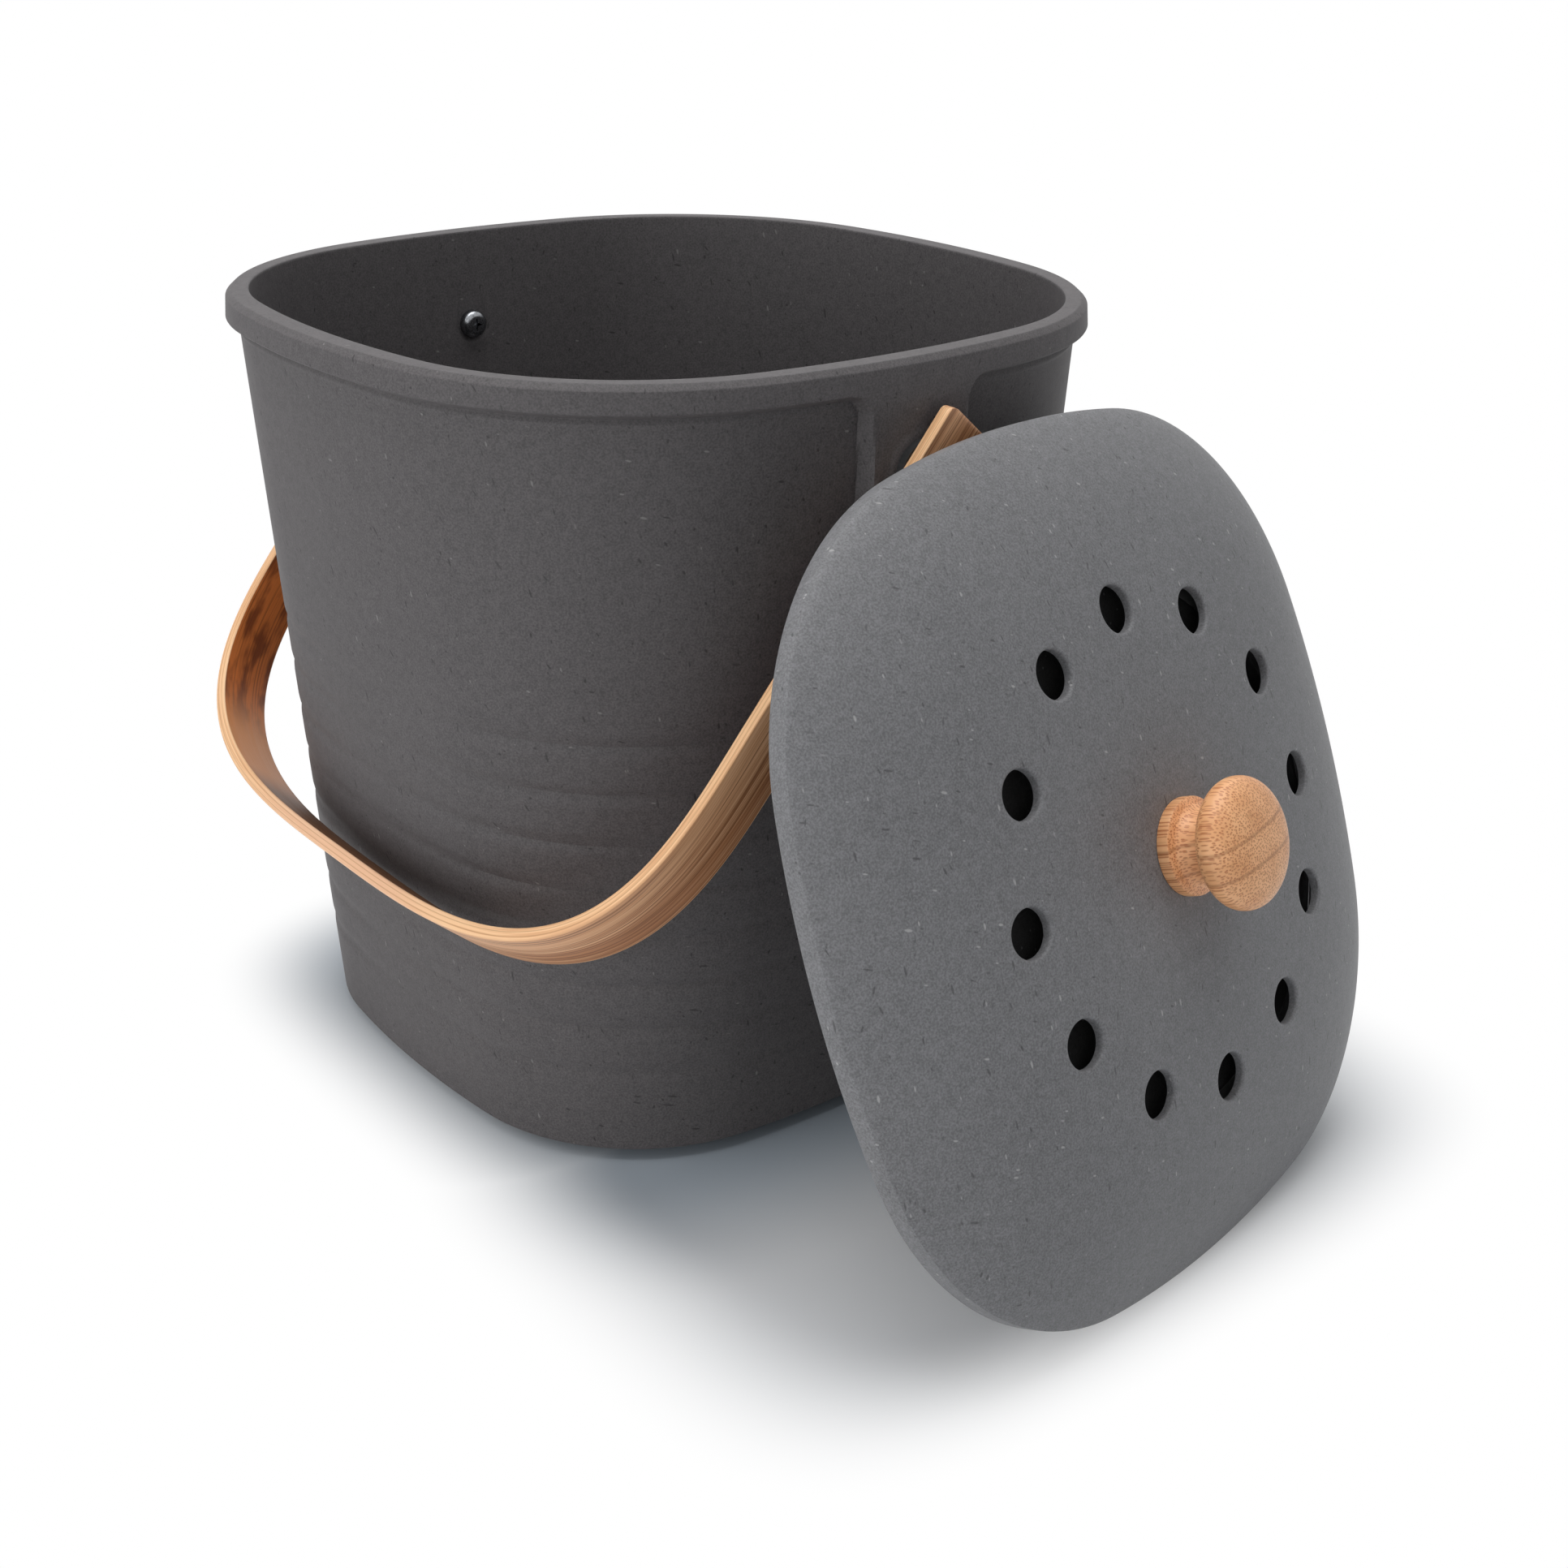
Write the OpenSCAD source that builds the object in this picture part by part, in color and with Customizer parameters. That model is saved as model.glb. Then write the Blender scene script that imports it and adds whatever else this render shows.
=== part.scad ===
// Kitchen compost caddy: a moulded bamboo-fibre bin, a carrying handle of bent bamboo strip that swings on
// two screwed pivots, and a loose lid with a knob, a ring of vents and a charcoal filter.
// Millimetres. Origin: middle of the bin's underside. +Z up, the handle swings about an axis along X,
// and the handle hangs in front, on the -Y side. The lid stands beside the bin, leaning on the +X pivot.

/* [Bin] */
// Height of the bin to the top of its rim
bin_height = 204; // [200:0.5:210]
// Half the width of the rim's flat top, at the middle of a side
rim_half = 100.2; // [99:0.1:101]
// Half the width at the bottom edge of the wall, at the middle of a side
foot_half = 84.6; // [82:0.1:87]
// Thickness of the wall
wall = 4.7; // [3.5:0.1:5]
// How far the rim's band stands out past the rim's flat top
band_reach = 1.9; // [1.6:0.1:2.2]
// Height of the rim's band
band_height = 10; // [8:0.5:12]
// Height of the plinth that the wall's bottom edge stands clear of the table on
plinth_height = 3; // [2:0.5:4]
// Depth of the soft grooves round the lower wall
groove_depth = 0.5; // [0.2:0.1:0.8]
// Distance between two grooves
groove_pitch = 13; // [11:0.5:15]
// Number of grooves
groove_count = 8; // [0:1:8]

/* [Handle pivots] */
// Depth of the pivot axis below the top of the rim
pivot_depth = 26.2; // [24:0.1:28]
// Width of the raised pad round a pivot, at its top
pad_width = 28.6; // [26:0.1:32]
// Radius of the sleeve that the handle turns on
sleeve_radius = 3; // [2.8:0.05:3.2]
// Radial play between the handle and the sleeve
sleeve_play = 0.07; // [0.04:0.01:0.1]
// Radius of the sleeve nut's domed head
nut_head_radius = 6; // [5:0.1:7]
// Radius of the screw head inside the bin
screw_head_radius = 4; // [4:0.1:4.6]

/* [Handle] */
// Angle at which the handle hangs against the front wall, away from straight down
hang_angle = 41; // [41:0.1:42]
// Width of the bamboo strip
strip_width = 15.5; // [13:0.5:17]
// Thickness of the bamboo strip
strip_thickness = 3.4; // [3:0.1:3.6]
// Length of a straight arm, from the pivot to the start of the bend
arm_length = 71.9; // [65:0.1:75]
// Length from the pivot to the middle of the bow
bow_length = 146.8; // [146.8:0.1:150]
// Length of strip past the pivot
strip_end = 14.5; // [12:0.5:15]

/* [Lid] */
// Half the width of the lid, at the middle of a side
lid_half = 100.7; // [100:0.1:101.5]
// Height of the lid above its seat, at its middle
lid_height = 25.5; // [24:0.1:27]
// Height of the upright edge of the lid
lid_edge = 5.3; // [4:0.1:6]
// Depth of the lip that drops into the bin's mouth
lip_depth = 5; // [4:0.1:5]
// Radius of the circle of vents
vent_circle = 55.9; // [50:0.1:58]
// Radius of one vent
vent_radius = 5.5; // [4.5:0.1:5.6]
// Number of vents
vent_count = 12; // [8:1:12]
// Lean of the standing lid, away from lying flat
lid_lean = 68.7; // [68:0.1:70]
// Turn of the standing lid about the upright
lid_turn = 9.8; // [9:0.1:10]

/* [Knob] */
// Radius of the knob's cap
knob_radius = 15; // [13:0.5:16]
// Height of the knob
knob_height = 21.6; // [20:0.1:24]
// Radius of the knob's foot
knob_foot_radius = 11.3; // [10:0.1:12]

/* [Filter] */
// Radius of the charcoal filter
filter_radius = 63; // [62:0.5:66]
// Thickness of the charcoal filter
filter_thickness = 6; // [4:0.5:6]

/* [Hidden] */
$fn = 64;

// plan outline: a square with bowed sides and round corners, both as shares of its half-width
MOUTH_BOW = 2.55;
MOUTH_CORNER = 0.68;
BAND_BOW = 2.3;
BAND_CORNER = 0.74;
WALL_BOW = 2.4;
WALL_CORNER = 0.75;
FOOT_BOW = 3.6;
FOOT_CORNER = 0.65;
SIDE_STEPS = 5;
CORNER_STEPS = 10;

// bin
wall_top = bin_height - band_height;
band_half = rim_half + band_reach;
band_overhang = 2.7;
draft = (band_half - band_overhang - foot_half) / (bin_height - plinth_height);
floor_top = plinth_height + wall;
plinth_half = foot_half - 3.4;
rim_width = 5.5;
mouth_half = rim_half - rim_width;
lowest_groove = 27;

// pivots, measured along X from the bin's middle
pivot_z = bin_height - pivot_depth;
seat_x = mouth_half - draft * pivot_depth + 0.35;
pad_x = band_half + 0.3;
gap = 0.1;
washer_thickness = 2.05;
strip_x = pad_x + washer_thickness + gap;
strip_mid = strip_x + strip_thickness / 2;
nut_x = strip_x + strip_thickness + gap;
nut_head = 2.2;
sleeve_start = seat_x + 1.2;
shank_radius = 2;
screw_head = 3;
spacer_radius = 8;
pad_bottom = pivot_z - 30;
pad_lower_width = pad_width - 4;
pad_corner = 9;
pad_fillet = 7;

// lid, in its own frame: seat plane at z = 0, dome upwards
lip_half = mouth_half - 0.7;
lip_wall = 3.2;
under_half = lip_half - lip_wall;
lid_wall = 3;
knob_flat = 0.13;
DOME_PLAN = 3.2;
DOME_RISE = 1.2;

// filter and its housing, in the lid's frame: the knob's screw clamps the housing's hub under the dome
housing_floor = 1.8;
housing_radius = filter_radius + 0.6;
housing_wall = 2.4;
housing_outer = housing_radius + housing_wall;
hub_radius = 9;
hub_top = lid_height - lid_wall;
screw_seat = hub_top - housing_floor;
spoke_thickness = 1.5;
spoke_width = 3;
spoke_top = dome(lid_edge, hub_top, housing_outer / under_half) - 0.3;
filter_top = spoke_top - spoke_thickness;
retainer_thickness = 2;
retainer_top = filter_top - filter_thickness;
lug_length = 18;
lug_thickness = 2.1;
lug_bottom = retainer_top - retainer_thickness - lug_thickness - 0.1;
lug_reach = 2.2;
LUGS = [0, 120, 240];
knob_washer_thickness = 1;
knob_hole = 12;

// where the lid stands: lowest edge on the table, lip against the +X sleeve nut
lid_x = 146.75;
lid_y = 18.3;
lid_z = lid_half * sin(lid_lean) - 0.55;

bin_grey = "#54555a";
bamboo = "#c89a66";
lid_grey = "#64656a";
steel = "#8d9096";
carbon = "#141414";
moulded_black = "#2a2a2c";

// ---------- outlines and lofts ----------

// points of an arc, without its last point
function arc(x, y, r, from, to, steps) =
    [for (i = [0:steps - 1]) let (a = from + (to - from) * i / steps) [x + r * cos(a), y + r * sin(a)]];

function turned(points, angle) =
    [for (p = points) [p.x * cos(angle) - p.y * sin(angle), p.x * sin(angle) + p.y * cos(angle)]];

// where the centre of a corner's arc is, along x and y alike
function corner_centre(half, bow, corner) =
    let (e = half - bow, k = bow - corner) (e + sqrt(2 * k * k - e * e)) / 2;

function quarter(half, bow, corner) =
    let (c = corner_centre(half, bow, corner), t = atan2(c, c - half + bow))
    concat(arc(half - bow, 0, bow, -t, t, SIDE_STEPS), arc(c, c, corner, t, 90 - t, CORNER_STEPS));

function plan(half, bow, corner) =
    let (q = quarter(half, half * bow, half * corner))
    concat(q, turned(q, 90), turned(q, 180), turned(q, 270));

function raised(points, z) = [for (p = points) [p.x, p.y, z]];

// one closed solid from a list of rings of equal length, each next to the one before it
module loft(rings) {
    n = len(rings[0]);
    m = len(rings);
    points = [for (ring = rings) each ring];
    sides = [for (j = [0:m - 2]) for (i = [0:n - 1])
        let (k = (i + 1) % n) [j * n + i, (j + 1) * n + i, (j + 1) * n + k, j * n + k]];
    first = [for (i = [0:n - 1]) i];
    last = [for (i = [n - 1:-1:0]) (m - 1) * n + i];
    polyhedron(points = points, faces = concat([first], sides, [last]), convexity = 6);
}

// ---------- bin ----------

function share(z) = (z - plinth_height) / (bin_height - plinth_height);
function between(low, high, z) = low + (high - low) * share(z);
function wall_out(z) = foot_half + draft * (z - plinth_height);
function wall_in(z) = mouth_half - draft * (bin_height - z);

function wall_ring(half, z) =
    raised(plan(half, between(FOOT_BOW, WALL_BOW, z), between(FOOT_CORNER, WALL_CORNER, z)), z);
function inner_ring(half, z) =
    raised(plan(half, between(FOOT_BOW, MOUTH_BOW, z), between(FOOT_CORNER, MOUTH_CORNER, z)), z);
function band_ring(half, z) = raised(plan(half, BAND_BOW, BAND_CORNER), z);
function mouth_ring(half, z) = raised(plan(half, MOUTH_BOW, MOUTH_CORNER), z);

function groove_rings(z) =
    [for (step = [[-2.4, 0], [-0.6, -groove_depth], [0.8, -groove_depth], [3, 0]])
        wall_ring(wall_out(z + step.x) + step.y, z + step.x)];

module bin_body() {
    foot = [wall_ring(plinth_half - 0.4, 0), wall_ring(plinth_half, 0.4),
        wall_ring(plinth_half + 0.2, plinth_height - 0.4), wall_ring(foot_half - 1, plinth_height),
        wall_ring(foot_half - 0.1, plinth_height + 0.8)];
    grooves = [for (i = [0:1:groove_count - 1]) each groove_rings(lowest_groove + i * groove_pitch)];
    band = [wall_ring(wall_out(wall_top - 2), wall_top - 2),
        band_ring(band_half - band_overhang, wall_top - 0.6),
        band_ring(band_half - 1, wall_top + 0.4), band_ring(band_half - 0.2, wall_top + 1.8),
        band_ring(band_half, wall_top + 3.4), band_ring(band_half, bin_height - 2.6),
        band_ring(band_half - 0.5, bin_height - 1.5), band_ring(rim_half, bin_height - 0.1),
        band_ring(rim_half - 0.5, bin_height), mouth_ring(mouth_half + 0.5, bin_height),
        mouth_ring(mouth_half, bin_height - 0.6)];
    inside = [inner_ring(wall_in(wall_top), wall_top), inner_ring(wall_in(100), 100),
        inner_ring(wall_in(floor_top + 8), floor_top + 8),
        inner_ring(wall_in(floor_top) - 0.6, floor_top + 4.5),
        inner_ring(wall_in(floor_top) - 2.8, floor_top + 1.6),
        inner_ring(wall_in(floor_top) - 7, floor_top)];
    color(bin_grey) difference() {
        union() {
            loft(concat(foot, grooves, band, inside));
            for (side = [0, 1]) mirror([side, 0, 0]) handle_pad();
        }
        for (side = [0, 1]) mirror([side, 0, 0]) along_pivot() {
            translate([0, 0, 80]) cylinder(r = sleeve_radius + 0.05, h = 40);
            translate([0, 0, seat_x - 20]) cylinder(r = screw_head_radius + 0.9, h = 20);
        }
    }
}

// puts a shape drawn along +Z on the pivot axis, pointing along +X
module along_pivot() {
    translate([0, 0, pivot_z]) rotate([90, 0, 90]) children();
}

// the raised pad round a pivot, flush with the rim's band, with a flat round seat for the washer
module handle_pad() {
    top = wall_top + 3 - pivot_z;
    bottom = pad_bottom - pivot_z;
    half_top = pad_width / 2;
    half_low = pad_lower_width / 2;
    half_wide = half_top + pad_fillet;
    fillet_z = top - 2.4 - pad_fillet;
    outline = concat([[half_wide, top], [-half_wide, top]],
        arc(-half_wide, fillet_z, pad_fillet, 90, 0, 6), [[-half_top, fillet_z]],
        arc(pad_corner - half_low, bottom + pad_corner, pad_corner, 180, 270, 8),
        arc(half_low - pad_corner, bottom + pad_corner, pad_corner, 270, 360, 8),
        [[half_low, bottom + pad_corner]], arc(half_wide, fillet_z, pad_fillet, 180, 90, 6),
        [[half_wide, fillet_z + pad_fillet]]);
    inner_x = wall_in(wall_top) + 0.3;
    intersection() {
        along_pivot() translate([0, 0, inner_x]) linear_extrude(20) polygon(outline);
        linear_extrude(bin_height) polygon(plan(band_half, BAND_BOW, BAND_CORNER));
    }
    along_pivot() translate([0, 0, inner_x + 1]) cylinder(r = spacer_radius + 1, h = pad_x - inner_x - 1);
}

// ---------- handle ----------

// middle line of the handle from one end to the other: straight arms, then a bow that is a soft-cornered arch
BOW_SHAPE = 3.25;
BOW_STEPS = 28;
strip_low_mid = strip_mid - 0.7;
function bow_point(a) = [strip_low_mid * pow(cos(a), 2 / BOW_SHAPE),
    -arm_length - (bow_length - arm_length) * pow(sin(a), 2 / BOW_SHAPE)];
half_line = concat([[strip_mid, strip_end], [strip_mid, 0]],
    [for (i = [0:BOW_STEPS]) bow_point(90 * pow(i / BOW_STEPS, 1.3))]);
middle_line = concat(half_line, [for (i = [len(half_line) - 2:-1:0]) [-half_line[i].x, half_line[i].y]]);

// the line shifted sideways by a distance, square to its own direction
function shifted(line, distance) =
    [for (i = [0:len(line) - 1])
        let (back = line[max(i - 1, 0)], ahead = line[min(i + 1, len(line) - 1)], d = ahead - back)
        line[i] + distance * [-d.y, d.x] / norm(d)];

module handle_strap() {
    outer = shifted(middle_line, strip_thickness / 2);
    inner = shifted(middle_line, -strip_thickness / 2);
    color(bamboo) difference() {
        translate([0, 0, pivot_z]) rotate([90 - hang_angle, 0, 0])
            translate([0, 0, -strip_width / 2]) linear_extrude(strip_width)
                polygon(concat(outer, [for (i = [len(inner) - 1:-1:0]) inner[i]]));
        translate([-130, 0, pivot_z]) rotate([0, 90, 0]) cylinder(r = sleeve_radius + sleeve_play, h = 260);
    }
}

// a cross-shaped driver recess in a head whose top face is at z = 0
module cross_recess(size, depth) {
    for (turn = [0, 90]) rotate([0, 0, turn])
        translate([-size / 2, -size / 8, -depth]) cube([size, size / 4, depth + 1]);
}

// pan head screw along +Z: the head's underside is at z = 0 and the shank points up
module pan_screw(head_radius, length) {
    difference() {
        union() {
            rotate_extrude() polygon(concat([[0, 0], [0, -screw_head]],
                arc(head_radius * 0.45, 0, screw_head, 270, 270, 1),
                arc(head_radius - screw_head * 0.62, -screw_head * 0.38, screw_head * 0.62, 270, 360, 8),
                [[head_radius, -screw_head * 0.38], [head_radius, 0]]));
            cylinder(r = shank_radius, h = length);
        }
        mirror([0, 0, 1]) translate([0, 0, screw_head]) cross_recess(head_radius * 1.1, 1.6);
    }
}

module pivot_screw(side) {
    color(steel) mirror([side, 0, 0]) along_pivot()
        translate([0, 0, seat_x]) pan_screw(screw_head_radius, nut_x - seat_x - 1);
}

// sleeve nut: a barrel that the handle turns on, with a wide low dome outside the strip
module sleeve_nut(side) {
    color(steel) mirror([side, 0, 0]) along_pivot() difference() {
        union() {
            translate([0, 0, sleeve_start]) cylinder(r = sleeve_radius, h = nut_x - sleeve_start + 0.5);
            translate([0, 0, nut_x]) rotate_extrude() polygon(concat([[0, 0], [nut_head_radius, 0]],
                arc(nut_head_radius - 1, 0.7, 1, 0, 60, 6),
                [[nut_head_radius * 0.55, nut_head * 0.96], [0, nut_head]]));
        }
        translate([0, 0, sleeve_start - 1]) cylinder(r = shank_radius + 0.05, h = nut_x - sleeve_start + 1);
    }
}

module spacer_washer(side) {
    color(moulded_black) mirror([side, 0, 0]) along_pivot() translate([0, 0, pad_x])
        ring(spacer_radius, sleeve_radius + 0.1, washer_thickness);
}

// ---------- lid ----------

module lid_place() {
    translate([lid_x, lid_y, lid_z]) rotate([0, 0, lid_turn]) rotate([0, lid_lean, 0]) children();
}

// height of a dome that rises from low at its edge to high at its flat middle, at a share of its half-width
function dome(low, high, at) =
    at <= knob_flat ? high : low + (high - low) * pow(1 - pow(at, DOME_PLAN), 1 / DOME_RISE);

module lid_shell() {
    outer_shares = [knob_flat, 0.25, 0.38, 0.5, 0.6, 0.69, 0.77, 0.84, 0.9, 0.95, 0.985];
    inner_shares = [0.97, 0.92, 0.84, 0.74, 0.62, 0.5, 0.36, 0.22, knob_flat];
    outer = [for (k = outer_shares) mouth_ring(lid_half * k, dome(lid_edge, lid_height, k))];
    edge = [mouth_ring(lid_half, lid_edge), mouth_ring(lid_half, 1.2), mouth_ring(lid_half - 1.2, 0),
        mouth_ring(lip_half, 0), mouth_ring(lip_half - 0.3, -lip_depth + 0.6),
        mouth_ring(lip_half - 0.9, -lip_depth),
        mouth_ring(under_half + 0.4, -lip_depth), mouth_ring(under_half, -lip_depth + 0.4),
        mouth_ring(under_half, lid_edge)];
    inner = [for (k = inner_shares) mouth_ring(under_half * k, dome(lid_edge, lid_height - lid_wall, k))];
    color(lid_grey) lid_place() difference() {
        mirror([0, 0, 1]) loft([for (ring = concat(outer, edge, inner)) [for (p = ring) [p.x, p.y, -p.z]]]);
        for (i = [0:vent_count - 1]) rotate([0, 0, i * 360 / vent_count])
            translate([vent_circle, 0, filter_top]) cylinder(r = vent_radius, h = 20);
        translate([0, 0, filter_top]) cylinder(r = shank_radius + 0.3, h = 20);
    }
}

// a flat ring cut by a hole, standing on z = 0
module ring(outer, inner, height) {
    difference() {
        cylinder(r = outer, h = height);
        translate([0, 0, -1]) cylinder(r = inner, h = height + 2);
    }
}

// wheel-shaped housing: a hub that the knob's screw clamps, spokes between the vents, a wall round the
// filter, and three lugs that the retainer turns behind
module filter_housing() {
    color(moulded_black) lid_place() {
        translate([0, 0, lug_bottom]) ring(housing_outer, housing_radius, spoke_top - lug_bottom);
        difference() {
            translate([0, 0, filter_top]) cylinder(r = hub_radius, h = hub_top - filter_top);
            translate([0, 0, filter_top - 1]) cylinder(r = 6.4, h = screw_seat - filter_top + 1);
            translate([0, 0, filter_top]) cylinder(r = shank_radius + 0.2, h = 20);
        }
        for (angle = [15:60:315]) rotate([0, 0, angle])
            translate([hub_radius - 0.5, -spoke_width / 2, filter_top])
                cube([housing_radius - hub_radius + 1, spoke_width, spoke_thickness]);
        for (angle = LUGS) rotate([0, 0, angle])
            translate([housing_radius - lug_reach, -lug_length / 2, lug_bottom])
                cube([lug_reach + 1, lug_length, lug_thickness]);
    }
}

module filter_retainer() {
    ring_radius = housing_radius - lug_reach - 0.4;
    ring_width = 5;
    color(moulded_black) lid_place() translate([0, 0, retainer_top - retainer_thickness]) {
        ring(ring_radius, ring_radius - ring_width, retainer_thickness);
        for (angle = LUGS) rotate([0, 0, angle - 9])
            rotate_extrude(angle = 18) translate([ring_radius - 1, 0])
                square([housing_radius - ring_radius + 0.6, retainer_thickness]);
        for (angle = [30:60:330]) rotate([0, 0, angle])
            translate([hub_radius - 2, -spoke_width / 2, 0])
                cube([ring_radius - hub_radius - 1, spoke_width, retainer_thickness]);
        cylinder(r = hub_radius, h = retainer_thickness);
    }
}

module charcoal_filter() {
    color(carbon) lid_place() translate([0, 0, retainer_top])
        cylinder(r = filter_radius, h = filter_thickness);
}

// turned knob: a foot, a cove up to the neck, and a flattened cap
module lid_knob() {
    foot_height = 3.1;
    neck_radius = 7.8;
    neck_z = 8.4;
    cap_z = 15;
    cap_low = 6.2;
    cap_high = knob_height - cap_z;
    cap_shape = 2.3;
    function cap(a, rise) = [knob_radius * pow(abs(cos(a)), 2 / cap_shape),
        cap_z + rise * sign(sin(a)) * pow(abs(sin(a)), 2 / cap_shape)];
    low_side = [for (a = [-58:8:-2]) cap(a, cap_low)];
    high_side = [for (a = [0:8:88]) cap(a, cap_high)];
    foot_side = [[0, 0], [knob_foot_radius - 0.4, 0], [knob_foot_radius, 0.4],
        [knob_foot_radius, foot_height - 0.4], [knob_foot_radius - 0.5, foot_height]];
    cove = [for (a = [0:15:90]) [neck_radius + (knob_foot_radius - 1 - neck_radius) * (1 - sin(a)),
        neck_z - (neck_z - foot_height - 0.3) * cos(a)]];
    color(bamboo) lid_place() translate([0, 0, lid_height]) difference() {
        rotate_extrude() polygon(concat(foot_side, cove, low_side, high_side, [[0, knob_height]]));
        translate([0, 0, -1]) cylinder(r = shank_radius, h = knob_hole + 1);
    }
}

module knob_washer() {
    color(steel) lid_place() translate([0, 0, screw_seat - knob_washer_thickness])
        ring(6, shank_radius + 0.2, knob_washer_thickness);
}

module knob_screw() {
    length = lid_height + knob_hole - 1 - screw_seat + knob_washer_thickness;
    color(steel) lid_place() translate([0, 0, screw_seat - knob_washer_thickness])
        pan_screw(screw_head_radius - 0.3, length);
}

bin_body();
handle_strap();
pivot_screw(1);  // pivot_screw_left
pivot_screw(0);  // pivot_screw_right
sleeve_nut(1);  // sleeve_nut_left
sleeve_nut(0);  // sleeve_nut_right
spacer_washer(1);  // spacer_washer_left
spacer_washer(0);  // spacer_washer_right
lid_shell();
lid_knob();
knob_screw();
knob_washer();
filter_housing();
charcoal_filter();
filter_retainer();
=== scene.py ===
# %% [markdown]
# # A kitchen compost caddy
# A moulded bin of bamboo-fibre composite, a carrying handle of bent bamboo strip, and a loose lid with a
# turned knob, a ring of vents and a charcoal filter. The lid leans against the bin. Lengths are written in
# millimetres, as on a drawing, and turned into metres where a mesh is made.

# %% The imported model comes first, and its box is kept
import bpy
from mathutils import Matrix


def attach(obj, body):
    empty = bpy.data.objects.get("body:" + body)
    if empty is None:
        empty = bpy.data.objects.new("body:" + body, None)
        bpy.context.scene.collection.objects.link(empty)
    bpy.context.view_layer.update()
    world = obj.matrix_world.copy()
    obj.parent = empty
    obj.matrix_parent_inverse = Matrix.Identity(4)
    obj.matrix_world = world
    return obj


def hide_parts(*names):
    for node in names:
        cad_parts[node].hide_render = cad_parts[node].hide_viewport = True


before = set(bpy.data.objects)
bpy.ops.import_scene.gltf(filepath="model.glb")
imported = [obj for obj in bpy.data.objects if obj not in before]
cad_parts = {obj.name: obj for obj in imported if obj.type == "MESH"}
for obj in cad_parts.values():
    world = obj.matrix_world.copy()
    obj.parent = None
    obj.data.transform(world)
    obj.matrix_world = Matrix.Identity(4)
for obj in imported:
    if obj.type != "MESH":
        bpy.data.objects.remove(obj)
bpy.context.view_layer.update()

# %% What the lesson uses
import math
import bmesh
import bpy
from mathutils import Matrix, Vector

MM = 0.001
scene = bpy.context.scene
scene.view_settings.view_transform = "Standard"

# %% [markdown]
# ## The camera
# A short telephoto lens looks down at the bin from its front right corner, a little over half a metre away.
# The camera is placed first, because it decides how much detail each piece needs. Its three directions are
# written as the columns of a matrix, which is exact and needs no turning.

# %% The camera
RIGHT = Vector((0.628170, 0.777995, 0.011252))
UP = Vector((-0.326638, 0.250554, 0.911335))
BACK = Vector((0.706195, -0.576148, 0.411513))
EYE = Vector((445.547, -319.376, 310.625)) * MM
bpy.ops.object.select_all(action="DESELECT")
bpy.ops.object.camera_add()
camera = bpy.context.object
camera.name = "camera"
camera.matrix_world = Matrix.Translation(EYE) @ Matrix((RIGHT, UP, BACK)).transposed().to_4x4()
camera.data.lens = 48.558
camera.data.sensor_width = 36
camera.data.clip_start = 0.01
scene.camera = camera
print("camera", [round(v, 3) for v in EYE], "lens", camera.data.lens)

# %% [markdown]
# ## Making a material from nodes
# Every finish here is a small tree of nodes. Two helpers keep the trees readable: shade() makes a colour
# from the three numbers that a paint program shows, and a Finish holds one material and adds nodes to its
# tree by name.

# %% Helpers for node trees
def shade(red, green, blue):
    """A colour from 0-255 screen values, as the linear numbers that a shader wants."""
    linear = []
    for value in (red, green, blue):
        part = value / 255
        linear.append(part / 12.92 if value <= 10 else ((part + 0.055) / 1.055) ** 2.4)
    return (*linear, 1.0)


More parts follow.
